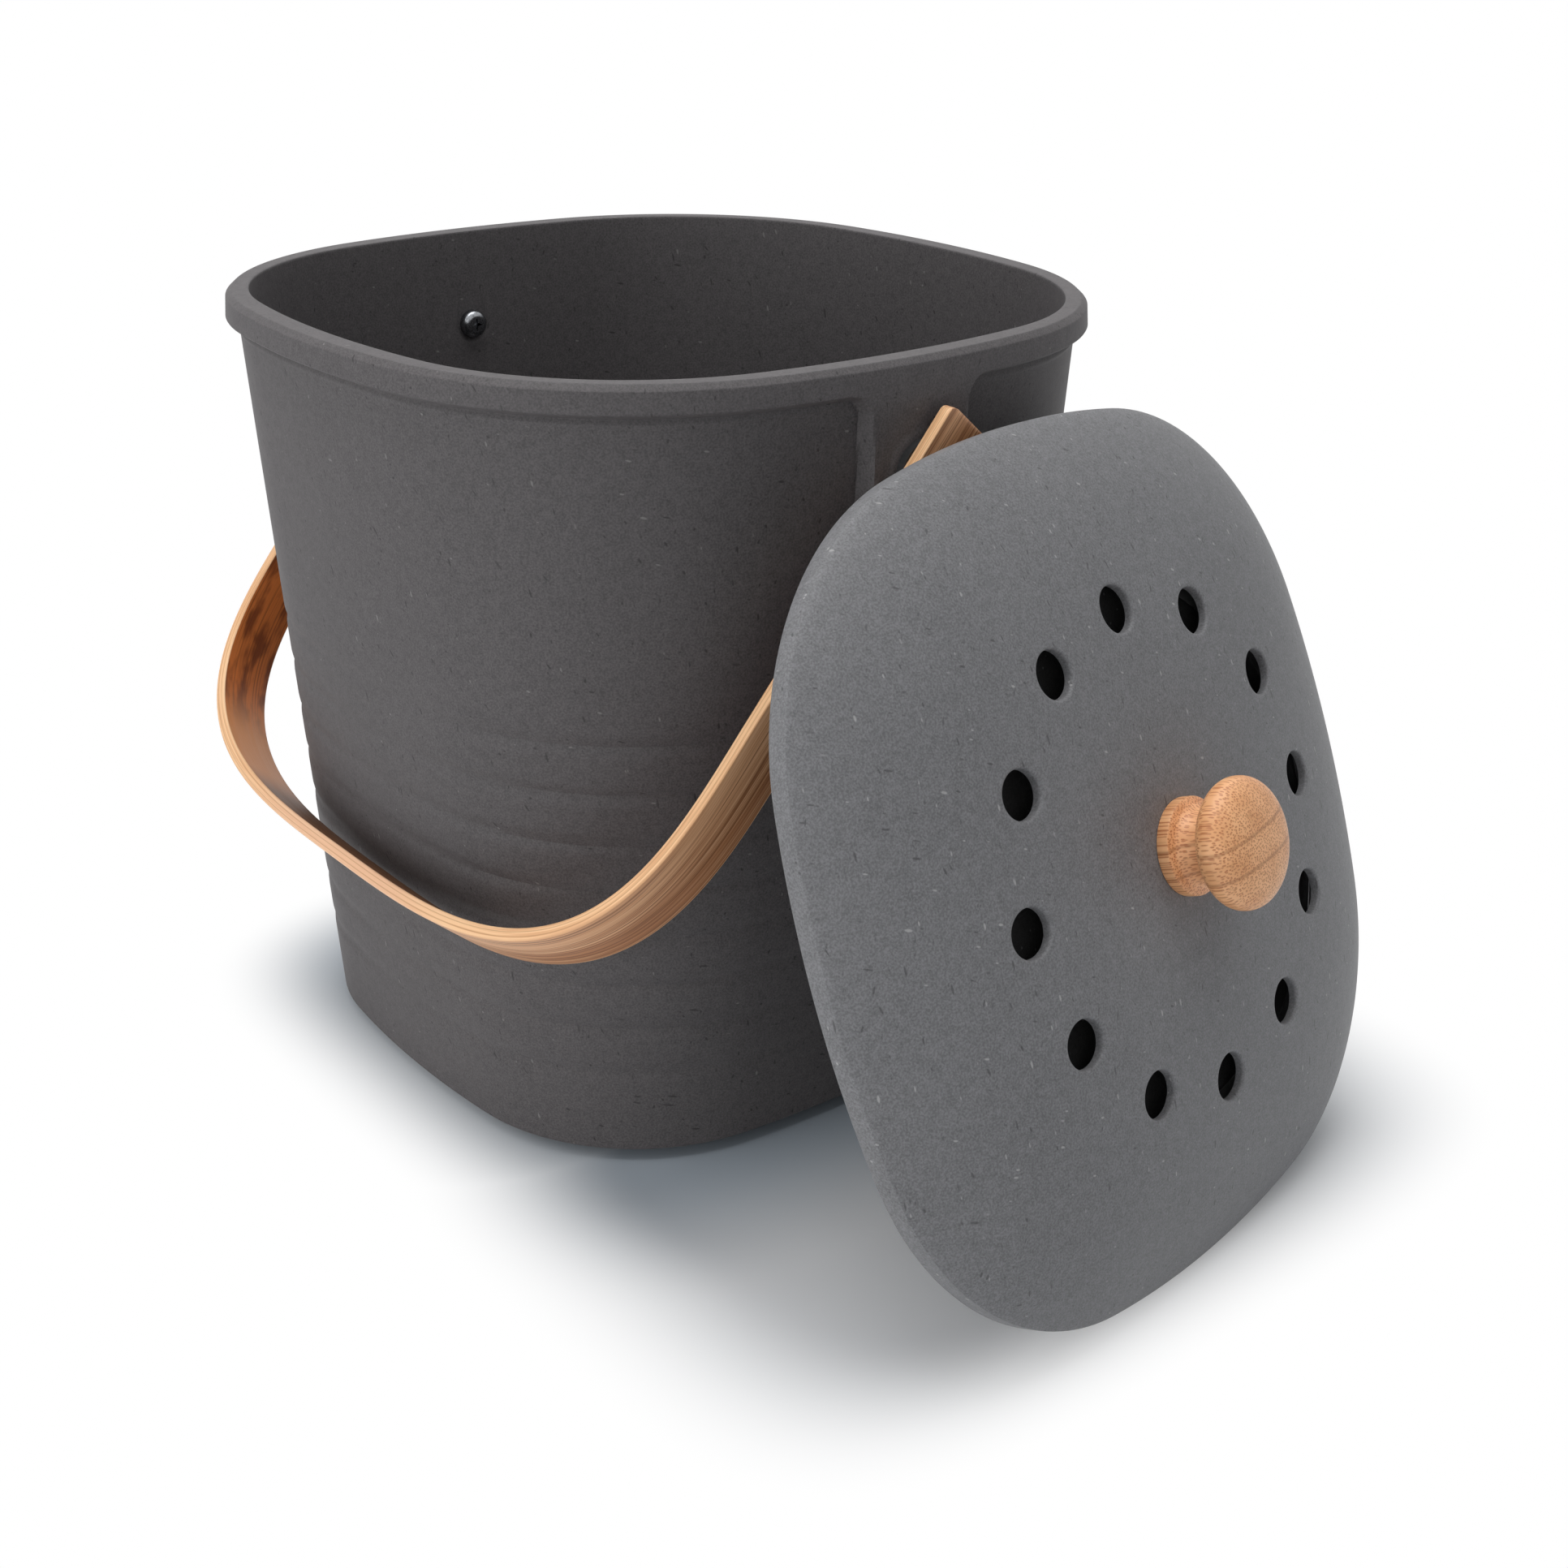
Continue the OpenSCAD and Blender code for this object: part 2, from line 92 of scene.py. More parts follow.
class Finish:
    """A material and its node tree, with a Principled shader joined to the output."""

    def __init__(self, name, roughness, **sockets):
        self.material = bpy.data.materials.new(name)
        self.material.use_nodes = True
        self.tree = self.material.node_tree
        self.shader = self.tree.nodes["Principled BSDF"]
        self.shader.inputs["Roughness"].default_value = roughness
        for socket, value in sockets.items():
            self.shader.inputs[socket.replace("_", " ")].default_value = value

    def add(self, kind, inputs=None, **settings):
        node = self.tree.nodes.new("ShaderNode" + kind)
        for setting, value in settings.items():
            setattr(node, setting, value)
        for socket, value in (inputs or {}).items():
            if isinstance(value, bpy.types.NodeSocket):
                self.tree.links.new(value, node.inputs[socket])
            else:
                node.inputs[socket].default_value = value
        return node

    def join(self, output, socket):
        self.tree.links.new(output, self.shader.inputs[socket])

    def math(self, operation, first, second=0.5, clamp=False):
        return self.add("Math", {0: first, 1: second}, operation=operation, use_clamp=clamp).outputs[0]

    def ramp(self, value, low, high, to_low=0.0, to_high=1.0):
        sockets = {0: value, 1: low, 2: high, 3: to_low, 4: to_high}
        return self.add("MapRange", sockets, interpolation_type="SMOOTHSTEP").outputs[0]

    def mix(self, share, first, second, blend="MIX"):
        node = self.add("Mix", {0: share}, data_type="RGBA", blend_type=blend)
        for socket, value in ((node.inputs[6], first), (node.inputs[7], second)):
            if isinstance(value, bpy.types.NodeSocket):
                self.tree.links.new(value, socket)
            else:
                socket.default_value = value
        return node.outputs[2]

    def place(self):
        return self.add("TexCoord").outputs["Object"]

    def turned(self, vector, location=(0, 0, 0), rotation=(0, 0, 0), scale=(1, 1, 1)):
        sockets = {0: vector, 1: location, 2: rotation, 3: scale}
        return self.add("Mapping", sockets).outputs[0]

    def noise(self, vector, per_metre, detail=2.0, roughness=0.5, distortion=0.0):
        sockets = {"Vector": vector, "Scale": per_metre, "Detail": detail, "Roughness": roughness}
        return self.add("TexNoise", {**sockets, "Distortion": distortion}).outputs[0]

    def cells(self, vector, per_metre):
        node = self.add("TexVoronoi", {"Vector": vector, "Scale": per_metre})
        return node.outputs["Distance"], node.outputs["Color"]

    def bump(self, height, depth_mm, strength=1.0):
        sockets = {"Height": height, "Distance": depth_mm * MM, "Strength": strength}
        self.join(self.add("Bump", sockets).outputs[0], "Normal")


print("a mid grey of 128 is", round(shade(128, 128, 128)[0], 3), "in linear light")

# %% [markdown]
# ## Fibre composite
# Ground bamboo fibre is pressed with resin and black pigment, so the surface is a matt dark grey, very
# finely grained, with short dark fibres and a few pale flecks lying in all directions. A fleck is a small
# cell of a Voronoi pattern. The pattern is stretched in four directions, one after another, so that the
# fibres lie every way, and a random colour per cell decides which few of the cells show.

# %% A layer of short fibres
def fibres(finish, place, turn, per_metre, length, size, share):
    """Where the fibres of one direction show: 1 on a fibre, 0 beside it."""
    sockets = {0: place, 2: turn, 3: (length, 1.0, 1.0)}
    vector = finish.add("Mapping", sockets, vector_type="TEXTURE").outputs[0]
    distance, colour = finish.cells(vector, per_metre)
    chosen = finish.add("SeparateColor", {0: colour})
    limit = finish.ramp(chosen.outputs[0], 1.0 - share, 1.0 - share * 0.6)
    reach = finish.math("ADD", finish.math("MULTIPLY", chosen.outputs[1], size), size * 0.6)
    near = finish.math("DIVIDE", distance, reach)
    return finish.math("MULTIPLY", finish.ramp(near, 1.0, 0.5), limit)


def strongest(finish, layers):
    total = layers[0]
    for layer in layers[1:]:
        total = finish.math("MAXIMUM", total, layer)
    return total


WAYS = [(0.3, 0.9, 0.4), (1.7, 0.2, 1.1), (0.8, 2.1, 2.3), (2.4, 1.3, 0.2)]


def composite(name, roughness, body, dark, pale, dark_share, pale_share):
    finish = Finish(name, roughness, Specular_IOR_Level=0.25)
    place = finish.place()

    def layers(ways, per_metre, length, size, share):
        return strongest(finish, [fibres(finish, place, way, per_metre, length, size, share) for way in ways])

    long_fibres = layers(WAYS, 620, 5.0, 0.16, dark_share)
    specks = layers(WAYS[1:3], 900, 2.5, 0.17, dark_share * 1.4)
    flecks = layers(WAYS[::-2], 560, 3.0, 0.14, pale_share)
    grain = finish.noise(place, 2100, 3, 0.65)
    patches = finish.noise(place, 420, 2, 0.5)
    cloud = finish.noise(place, 20, 2, 0.5)
    patch_tone = finish.ramp(patches, 0.3, 0.7, -0.06, 0.06)
    cloud_tone = finish.ramp(cloud, 0.3, 0.7, -0.03, 0.03)
    tone = finish.math("ADD", finish.ramp(grain, 0.32, 0.68, 0.76, 1.24), patch_tone)
    tone = finish.math("ADD", tone, cloud_tone)
    grey = finish.add("CombineColor", {0: tone, 1: tone, 2: tone}).outputs[0]
    base = finish.mix(1.0, body, grey, "MULTIPLY")
    spotted = finish.mix(finish.math("MULTIPLY", specks, 0.4), base, dark)
    spotted = finish.mix(finish.math("MULTIPLY", long_fibres, 0.65), spotted, dark)
    spotted = finish.mix(finish.math("MULTIPLY", flecks, 0.6), spotted, pale)
    finish.join(spotted, "Base Color")
    finish.join(finish.ramp(grain, 0.3, 0.7, roughness - 0.05, roughness + 0.05), "Roughness")
    finish.bump(finish.math("SUBTRACT", grain, finish.math("MULTIPLY", long_fibres, 0.6)), 0.06, 0.4)
    return finish.material


bin_shades = (shade(88, 85, 86), shade(42, 40, 41), shade(140, 138, 137))
lid_shades = (shade(121, 121, 123), shade(68, 67, 68), shade(190, 189, 188))
bin_fibre = composite("bin_fibre", 0.6, *bin_shades, 0.16, 0.09)
lid_fibre = composite("lid_fibre", 0.5, *lid_shades, 0.16, 0.19)
print("composites made:", bin_fibre.name, lid_fibre.name)

# %% [markdown]
# ## Shaping walls from outlines
# The bin and the lid share one plan: a square whose sides bow outwards and whose corners are round. Both
# could be sculpted from a cube, but a mould maker works from this outline, so it is written once, as the
# distance from the middle to the edge in any direction. A wall is then a circle that is moved onto the
# first outline and extruded again and again onto the next one.

# %% The plan outline
MOUTH = (2.55, 0.68)
BAND = (2.3, 0.74)
WALL_TOP = (2.4, 0.75)
FOOT = (3.6, 0.65)


def blend(low, high, share):
    return low + (high - low) * share


def clamp(value):
    return min(1.0, max(0.0, value))


def outline(turn, half, bow, corner):
    """How far (mm) the outline is from the middle in one direction, for a half-width and two shares of it."""
    turn = (turn + math.pi / 4) % (math.pi / 2) - math.pi / 4
    big = half * bow
    small = half * corner
    edge = half - big
    slack = big - small
    corner_middle = (edge + math.sqrt(2 * slack * slack - edge * edge)) / 2
    reach = math.atan2(corner_middle, corner_middle - edge)
    meeting = math.atan2(big * math.sin(reach), edge + big * math.cos(reach))
    if abs(turn) <= meeting:
        x, y, radius = edge, 0.0, big
    else:
        x, y, radius = corner_middle, math.copysign(corner_middle, turn), small
    along = x * math.cos(turn) + y * math.sin(turn)
    return along + math.sqrt(along * along - x * x - y * y + radius * radius)


def flat_ring(turns, half, shape, z):
    reaches = [outline(t, half, *shape) for t in turns]
    return [(reach * math.cos(t), reach * math.sin(t), z) for reach, t in zip(reaches, turns)]


at_side, at_corner = outline(0, 100, *BAND), outline(math.pi / 4, 100, *BAND)
print("a band 200 mm wide, side and corner:", round(at_side, 1), round(at_corner, 1))

# %% Extruding from ring to ring
def start_ring(name, points):
    """A circle primitive with its points moved onto the first outline (mm), left open in edit mode."""
    bpy.ops.object.select_all(action="DESELECT")
    bpy.ops.mesh.primitive_circle_add(vertices=len(points), radius=0.1)
    piece = bpy.context.object
    piece.name = name
    piece.data.name = name
    for vertex, point in zip(piece.data.vertices, points):
        vertex.co = Vector(point) * MM
    bpy.ops.object.mode_set(mode="EDIT")
    bpy.ops.mesh.select_mode(type="VERT")
    bpy.ops.mesh.select_all(action="SELECT")
    return piece


def next_ring(piece, points):
    """Extrudes the selected ring and moves the new points (the last ones made) onto the next outline (mm)."""
    bpy.ops.mesh.extrude_region()
    shell = bmesh.from_edit_mesh(piece.data)
    shell.verts.ensure_lookup_table()
    for vertex, point in zip(shell.verts[-len(points):], points):
        vertex.co = Vector(point) * MM


def close_openings():
    """Fills every open ring of the mesh in edit mode with one face."""
    bpy.ops.mesh.select_all(action="DESELECT")
    bpy.ops.mesh.select_non_manifold(extend=False, use_wire=False, use_multi_face=False, use_verts=False)
    bpy.ops.mesh.fill_holes(sides=0)


def leave_edit(piece, crease=35.0):
    """Turns all faces outwards, goes back to object mode and shades smooth, but not over sharp edges."""
    bpy.ops.mesh.select_all(action="SELECT")
    bpy.ops.mesh.normals_make_consistent(inside=False)
    bpy.ops.object.mode_set(mode="OBJECT")
    bpy.ops.object.shade_smooth_by_angle(angle=math.radians(crease))
    print(piece.name, "has", len(piece.data.polygons), "faces")


def finish_piece(piece, body, slot, material, *nodes):
    """Gives a finished piece its material and its body, and hides the solids that it stands for; its slot is
    not used.
    """
    piece.data.materials.clear()
    piece.data.materials.append(material)
    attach(piece, body)
    if nodes:
        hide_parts(*nodes)


# %% [markdown]
# ## The bin
# The bin is one moulding: a tapering wall on a recessed plinth, soft grooves round the lower wall that are
# deepest at the corners, and a flat rim with a band outside it. On two sides a raised pad runs down from
# the band and carries a handle pivot. Separate pads could be joined with a boolean, but the real surface
# flows from band to pad without a seam, so the wall is extruded in many fine rings and each point is pushed
# out by how close it is to band and pad.

# %% Sizes of the bin
BIN_HEIGHT = 204.0
PLINTH = 3.0
FOOT_HALF = 84.6
BAND_HALF = 102.1
MOUTH_HALF = 94.7
DRAFT = (BAND_HALF - 2.7 - FOOT_HALF) / (BIN_HEIGHT - PLINTH)
FLOOR_TOP = 7.7
PIVOT_Z = 177.8
SEAT_X = 93.12
PAD_X = 102.4
GROOVES = [27 + 13 * i for i in range(8)]


def wall_share(z):
    return (z - PLINTH) / (BIN_HEIGHT - PLINTH)


def plain_wall(turn, z):
    share = wall_share(z)
    shape = (blend(FOOT[0], WALL_TOP[0], share), blend(FOOT[1], WALL_TOP[1], share))
    return outline(turn, FOOT_HALF + DRAFT * (z - PLINTH), *shape)


print("the wall leans out", round(DRAFT * 100, 2), "mm in 100")

# %% Where band and pad end, as one rounded shape
BAND_EDGE_Z = 194.9
BAND_SLOPE = 0.08
PAD_TOP_HALF = 14.3
PAD_LOW_HALF = 12.3
PAD_BOTTOM = 147.8
PAD_CORNER = 9.0
PAD_FILLET = 5.5


def from_pad(across, z):
    """Distance (mm) of a point of the wall from a pad's edge, negative on the pad."""
    corner_z = PAD_BOTTOM + PAD_CORNER
    half = blend(PAD_LOW_HALF, PAD_TOP_HALF, clamp((z - corner_z) / (187.6 - corner_z)))
    out = abs(across) - (half - PAD_CORNER)
    down = corner_z - z
    return min(max(out, down), 0.0) + math.hypot(max(out, 0.0), max(down, 0.0)) - PAD_CORNER


def step(across, z):
    """(how full the raised surface is, distance in mm past its foot, share of the band in it) at a point."""
    band = BAND_EDGE_Z - z
    pad = from_pad(across, z)
    band_pull = max(PAD_FILLET - band, 0.0)
    pad_pull = max(PAD_FILLET - pad, 0.0)
    distance = max(PAD_FILLET, min(band, pad)) - math.hypot(band_pull, pad_pull)
    share = (band_pull ** 2 + 1e-6) / (band_pull ** 2 + pad_pull ** 2 + 1e-6)
    lead = blend(0.7, 2.9, share)
    width = blend(2.2, 1.9, share)
    along = clamp((distance + lead) / width)
    return 1 - along * along * (3 - 2 * along), distance + lead - width, share


print("just beside the pad the surface is", round(step(15.0, 170)[0], 2), "of the way out")

# %% The outer surface of the wall
def groove_depth(turn, z):
    at_corner = (1 - math.cos(4 * turn)) / 2
    deep = blend(0.18, 0.8, at_corner ** 0.8)
    return sum(deep * math.exp(-(((z - groove) / 1.5) ** 2)) for groove in GROOVES)


def outer_wall(turn, z):
    """A point (mm) of the wall's outside: grooves, band, pads, pivot bosses, the line under the band."""
    radius = plain_wall(turn, z) - groove_depth(turn, z)
    across = radius * math.sin(turn)
    on_pad_side = abs(math.cos(turn)) > 0.9
    full, past, share = step(across if on_pad_side else 60.0, z)
    band = outline(turn, BAND_HALF - BAND_SLOPE * max(z - BAND_EDGE_Z, 0.0), *BAND)
    radius = blend(radius, band, full)
    at_corner = (1 - math.cos(4 * turn)) / 2
    line = blend(0.05, blend(0.14, 0.26, at_corner), share)
    radius -= line * math.exp(-(((past + 0.1) / 0.35) ** 2))
    radius += line * math.exp(-(((past - 1.1) / 0.5) ** 2))
    across = radius * math.sin(turn)
    from_axis = math.hypot(across, z - PIVOT_Z)
    if on_pad_side and from_axis < 10.0:
        boss = PAD_X / abs(math.cos(turn))
        radius = blend(boss, radius, clamp(from_axis - 9.0))
    return (radius * math.cos(turn), radius * math.sin(turn), z)


def steps(low, high, size):
    count = max(1, round((high - low) / size))
    return [low + (high - low) * i / count for i in range(count)]


turns = []
for side in (0, math.pi):
    turns += [side + t for t in steps(-0.24, 0.24, 0.0066)]
    turns += [side + t for t in steps(0.24, math.pi - 0.24, 0.024)]
print(len(turns), "points in each ring")

# %% Extruding the outside, the rim and the inside
plinth = [(79.6, 0.0), (80.0, 0.4), (80.2, 3.0), (83.4, 3.0), (84.0, 3.15), (84.4, 3.5)]
levels = steps(3.9, 20, 2.0) + steps(20, 123, 1.25) + steps(123, 143, 2.5) + steps(143, 191, 0.72)
levels += steps(191, 198.4, 0.3) + [198.4, 199.6]
rim = [(101.62, 200.9, BAND), (101.5, 202.35, BAND), (101.48, 202.55, BAND), (101.38, 202.72, BAND)]
rim += [(101.26, 202.84, BAND), (100.24, 203.82, BAND), (100.1, 203.94, BAND), (99.9, 204.0, BAND)]
rim += [(99.7, 204.0, BAND), (95.5, 204.0, MOUTH), (95.3, 204.0, MOUTH), (95.05, 203.95, MOUTH)]
rim += [(94.85, 203.84, MOUTH), (94.75, 203.65, MOUTH), (94.7, 203.4, MOUTH), (94.68, 203.1, MOUTH)]
bin_piece = start_ring("bin", flat_ring(turns, *plinth[0][:1], FOOT, plinth[0][1]))
for half, z in plinth[1:]:
    next_ring(bin_piece, flat_ring(turns, half, FOOT, z))
for z in levels:
    next_ring(bin_piece, [outer_wall(t, z) for t in turns])
for half, z, shape in rim:
    next_ring(bin_piece, flat_ring(turns, half, shape, z))
print("outside and rim extruded,", len(levels), "levels on the wall")


# %% The inside, with a round seat for each pivot screw
def inner_wall(turn, z):
    share = wall_share(z)
    shape = (blend(FOOT[0], MOUTH[0], share), blend(FOOT[1], MOUTH[1], share))
    corner = 8.0
    tuck = corner - math.sqrt(max(0.0, corner ** 2 - max(0.0, FLOOR_TOP + corner - z) ** 2))
    radius = outline(turn, MOUTH_HALF - DRAFT * (BIN_HEIGHT - z) - tuck, *shape)
    from_axis = math.hypot(radius * math.sin(turn), z - PIVOT_Z)
    if abs(math.cos(turn)) > 0.9 and from_axis < 5.5:
        radius = blend(SEAT_X / abs(math.cos(turn)), radius, clamp((from_axis - 4.7) / 0.8))
    return (radius * math.cos(turn), radius * math.sin(turn), z)


inner_levels = [202, 198, 192, 186]
inner_levels += [184.6 - 0.8 * i for i in range(18)] + [168, 160, 145, 125, 100, 75, 50, 30, 20]
inner_levels += [15.7, 14.2, 12.6, 11.2, 10.0, 9.0, 8.2, 7.85, 7.7]
for z in inner_levels:
    next_ring(bin_piece, [inner_wall(t, z) for t in turns])
close_openings()
leave_edit(bin_piece, 26)
finish_piece(bin_piece, "bin", "bin_fibre", bin_fibre, "bin_body")

# %% [markdown]
# ## The lid
# The lid is a shallow dome with an upright edge, a lip that drops into the bin's mouth, and twelve vents.
# The dome is modelled lying flat, in fine rings that are circles near the vents and pass over to the square
# outline at the edge. A boolean would leave ragged shading round the holes, so a window of faces is taken
# out where each vent sits, its border is extruded inwards onto a circle, rounded over the edge and led down
# to the underside.

# %% The dome's height
LID_HALF = 100.7
LID_HEIGHT = 25.5
LID_EDGE = 5.3
LID_WALL = 3.0
LIP_HALF = 94.0
UNDER_HALF = 90.8
LIP_DEPTH = 5.0


def dome(low, high, at):
    return low + (high - low) * (1 - clamp(at) ** 3.2) ** (1 / 1.2)


def outside_z(x, y):
    turn = math.atan2(y, x)
    return dome(LID_EDGE, LID_HEIGHT, math.hypot(x, y) / outline(turn, LID_HALF, *MOUTH))


def inside_z(x, y):
    turn = math.atan2(y, x)
    return dome(LID_EDGE, LID_HEIGHT - LID_WALL, math.hypot(x, y) / outline(turn, UNDER_HALF, *MOUTH))


print("the dome is", round(outside_z(55.9, 0), 1), "mm high at the vents")

# %% Rings of the lid
VENTS = 12
PER_VENT = 24
VENT_CIRCLE = 55.9
VENT_RADIUS = 5.5
WINDOW = 7.3
lid_turns = [2 * math.pi * (i + 0.5) / (VENTS * PER_VENT) for i in range(VENTS * PER_VENT)]
inner_radii = [8.5, 11, 14, 18, 22, 27, 32, 37, 42, 46]
window_radii = [VENT_CIRCLE - WINDOW + 2 * WINDOW * i / 12 for i in range(13)]


def polar_ring(radius, height):
    return [(radius * math.cos(t), radius * math.sin(t), height(radius * math.cos(t), radius * math.sin(t)))
            for t in lid_turns]


def spread_ring(share, half, height, from_radius=VENT_CIRCLE + WINDOW):
    """A ring between the last circle and the edge of the lid."""
    points = []
    for t in lid_turns:
        radius = blend(from_radius, outline(t, half, *MOUTH), share)
        x, y = radius * math.cos(t), radius * math.sin(t)
        points.append((x, y, height(x, y)))
    return points


outward = [1 - (1 - i / 22) ** 1.9 for i in range(1, 22)]
lid_piece = start_ring("lid", polar_ring(inner_radii[0], outside_z))
for radius in inner_radii[1:] + window_radii:
    next_ring(lid_piece, polar_ring(radius, outside_z))
for share in outward + [0.9985]:
    next_ring(lid_piece, spread_ring(share, LID_HALF, outside_z))
edge = [(LID_HALF, 4.9), (LID_HALF, 1.3), (LID_HALF - 0.35, 0.4), (LID_HALF - 1.2, 0.0)]
lip = [(LIP_HALF + 0.4, 0.0), (LIP_HALF, -0.4), (LIP_HALF - 0.3, -4.2), (LIP_HALF - 0.6, -4.8)]
lip += [(LIP_HALF - 1.0, -LIP_DEPTH), (UNDER_HALF + 0.6, -LIP_DEPTH), (UNDER_HALF + 0.1, -4.8)]
lip += [(UNDER_HALF, -4.3), (UNDER_HALF, LID_EDGE - 0.3)]
for half, z in edge + lip:
    next_ring(lid_piece, flat_ring(lid_turns, half, MOUTH, z))
for share in [0.99] + outward[::-2]:
    next_ring(lid_piece, spread_ring(share, UNDER_HALF, inside_z))
for radius in (inner_radii + window_radii)[::-1]:
    next_ring(lid_piece, polar_ring(radius, inside_z))
close_openings()
print("lid rings extruded")

# %% A window for every vent
lid_mesh = bmesh.from_edit_mesh(lid_piece.data)


def vent_middle(x, y):
    """The middle (mm) of the vent nearest to a point."""
    number = round(math.atan2(y, x) / (2 * math.pi / VENTS))
    turn = number * 2 * math.pi / VENTS
    return VENT_CIRCLE * math.cos(turn), VENT_CIRCLE * math.sin(turn)


def in_window(point):
    x, y = point.x / MM, point.y / MM
    radius = math.hypot(x, y)
    turn = math.atan2(y, x)
    off = turn - round(turn / (2 * math.pi / VENTS)) * 2 * math.pi / VENTS
    return abs(radius - VENT_CIRCLE) < WINDOW and abs(off) < 6.01 * 2 * math.pi / (VENTS * PER_VENT)


bpy.ops.mesh.select_all(action="DESELECT")
bpy.ops.mesh.select_mode(type="FACE")
for face in lid_mesh.faces:
    face.select = in_window(face.calc_center_median())
bmesh.update_edit_mesh(lid_piece.data)
bpy.ops.mesh.delete(type="FACE")
print("windows cut, faces left:", len(bmesh.from_edit_mesh(lid_piece.data).faces))

# %% Rounding each vent from the outside to the underside
bpy.ops.mesh.select_mode(type="VERT")
bpy.ops.mesh.select_non_manifold(extend=False, use_wire=False, use_multi_face=False, use_verts=False)
lid_mesh = bmesh.from_edit_mesh(lid_piece.data)
for vertex in lid_mesh.verts:
    x, y, z = vertex.co / MM
    if vertex.select and z < outside_z(x, y) - 0.5:
        vertex.select = False
lid_mesh.select_flush_mode()
bmesh.update_edit_mesh(lid_piece.data)
vent_steps = [(7.0, 0.0, 0.5), (6.5, 0.0, 1.0), (6.15, 0.02, 1.0), (5.9, 0.1, 1.0), (5.7, 0.26, 1.0)]
vent_steps += [(5.55, 0.55, 1.0), (VENT_RADIUS, 0.95, 1.0), (VENT_RADIUS, 1.7, 1.0), (VENT_RADIUS, 2.3, 1.0)]
vent_steps += [(5.7, 2.4, 1.0), (6.2, 2.6, 1.0), (6.8, 2.95, 1.0)]
for radius, depth, pull in vent_steps:
    bpy.ops.mesh.extrude_region()
    lid_mesh = bmesh.from_edit_mesh(lid_piece.data)
    for vertex in lid_mesh.verts:
        if vertex.select:
            x, y = vertex.co.x / MM, vertex.co.y / MM
            middle_x, middle_y = vent_middle(x, y)
            away = math.hypot(x - middle_x, y - middle_y)
            scale = blend(away, radius, pull) / away
            x, y = middle_x + (x - middle_x) * scale, middle_y + (y - middle_y) * scale
            vertex.co = Vector((x, y, outside_z(x, y) - depth)) * MM
print("vents rounded")

# %% Joining each vent to the underside
for number in range(VENTS):
    turn = number * 2 * math.pi / VENTS
    middle = Vector((VENT_CIRCLE * math.cos(turn), VENT_CIRCLE * math.sin(turn)))
    bpy.ops.mesh.select_mode(type="EDGE")
    bpy.ops.mesh.select_non_manifold(extend=False, use_wire=False, use_multi_face=False, use_verts=False)
    lid_mesh = bmesh.from_edit_mesh(lid_piece.data)
    for seam in lid_mesh.edges:
        if seam.select:
            spot = (seam.verts[0].co + seam.verts[1].co).xy / 2 / MM
            seam.select = (spot - middle).length < 12.0
    lid_mesh.select_flush_mode()
    bmesh.update_edit_mesh(lid_piece.data)
    bpy.ops.mesh.bridge_edge_loops()
leave_edit(lid_piece, 27)

# %% Leaning the lid against the bin
LID_MIDDLE = Vector((146.75, 18.3, 93.27)) * MM
LID_TURN = math.radians(9.8)
LID_LEAN = math.radians(68.7)
lid_turned = Matrix.Rotation(LID_TURN, 4, "Z") @ Matrix.Rotation(LID_LEAN, 4, "Y")
LID_PLACE = Matrix.Translation(LID_MIDDLE) @ lid_turned


def put_on_lid(piece):
    """Moves a piece modelled on the flat lid to where the lid leans, and leaves the place in the mesh."""
    bpy.ops.object.select_all(action="DESELECT")
    piece.select_set(True)
    bpy.context.view_layer.objects.active = piece
    piece.matrix_world = LID_PLACE @ piece.matrix_world
    bpy.ops.object.transform_apply(location=True, rotation=True, scale=True)


put_on_lid(lid_piece)
finish_piece(lid_piece, "lid", "lid_fibre", lid_fibre, "lid_shell")
print("lid box z:", round(min(v.co.z for v in lid_piece.data.vertices), 4))

# %% [markdown]
# ## The handle
# The handle is a strip of laminated bamboo, steamed and bent into a bow: two straight arms that hang from
# the pivots and a soft-cornered arch between them. A curve with a bevel would do, but the finish needs to
# know how far along, across and through the strip each point is, so the strip's cross-section is extruded
# along the bow and these three distances are kept as an attribute.

# %% The middle line of the strip
STRIP_WIDTH = 15.5
STRIP_THICKNESS = 3.4
STRIP_MID = 106.25
STRIP_END = 14.5
ARM = 71.9
BOW = 146.8
BOW_SHAPE = 3.25


def bow_line():
    """Points (mm) of the bow, sideways and along the arm, from one free end round to the other."""
    half = [(STRIP_MID, STRIP_END), (STRIP_MID, STRIP_END / 2), (STRIP_MID, 0.0), (STRIP_MID - 0.2, -20.0)]
    for i in range(161):
        a = math.radians(90) * (i / 160) ** 1.3
        sideways = (STRIP_MID - 0.7) * max(math.cos(a), 0.0) ** (2 / BOW_SHAPE)
        half.append((sideways, -ARM - (BOW - ARM) * math.sin(a) ** (2 / BOW_SHAPE)))
    return half + [(-x, y) for x, y in half[-2::-1]]


def even_line(points, spacing):
    """The same line in steps of equal length."""
    lengths = [0.0]
    for first, second in zip(points, points[1:]):
        lengths.append(lengths[-1] + math.dist(first, second))
    count = round(lengths[-1] / spacing)
    line = []
    place = 0
    for i in range(count + 1):
        at = lengths[-1] * i / count
        while place < len(points) - 2 and lengths[place + 1] < at:
            place += 1
        share = (at - lengths[place]) / (lengths[place + 1] - lengths[place])
        line.append((blend(points[place][0], points[place + 1][0], share),
                     blend(points[place][1], points[place + 1][1], share), at))
    return line


middle_line = even_line(bow_line(), 1.6)
strip_length = middle_line[-1][2]
print("the strip is", round(strip_length, 1), "mm long, in", len(middle_line) - 1, "steps")

